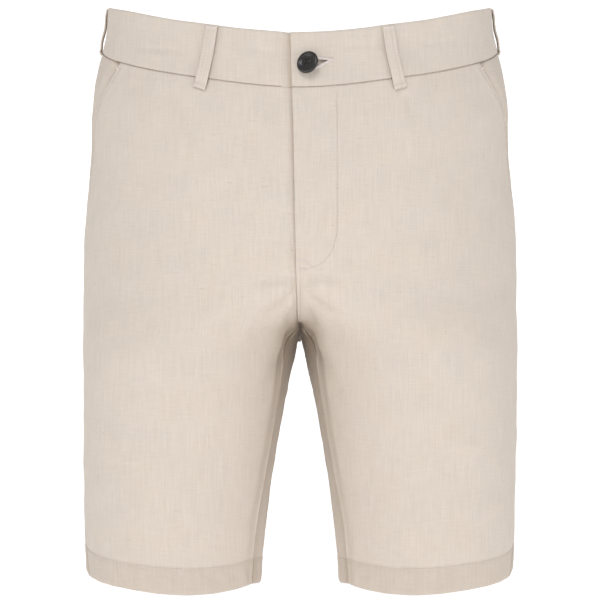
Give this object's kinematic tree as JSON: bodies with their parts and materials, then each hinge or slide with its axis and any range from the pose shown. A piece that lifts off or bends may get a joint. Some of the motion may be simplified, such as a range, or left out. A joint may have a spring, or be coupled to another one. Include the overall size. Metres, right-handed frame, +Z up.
{
  "type": "bermuda shorts",
  "caption": "Knee-length linen bermuda shorts filled out as worn, with a buttoned waistband, fly, belt loops and slanted pockets.",
  "frame": {"origin": "middle of the waist, level with the top edge of the waistband at the sides", "axes": "+Z up the wearer's body, the front faces -Y, +X towards the wearer's left"},
  "size_m": [0.379, 0.2739, 0.5047],
  "materials": {
    "linen": "plain-woven beige linen, matt",
    "button": "dark grey, satin",
    "thread": "sewing thread"
  },
  "bodies": {
    "root": {"back_left": "linen", "back_right": "linen", "belt_loop_back": "linen", "belt_loop_front_left": "linen", "belt_loop_front_right": "linen", "belt_loop_side_left": "linen", "belt_loop_side_right": "linen", "button": "button", "button_thread": "thread", "front_left": "linen", "front_right": "linen", "pocket_side_left": "linen", "pocket_side_right": "linen", "waistband_left": "linen", "waistband_right": "linen"}
  },
  "joints": []
}
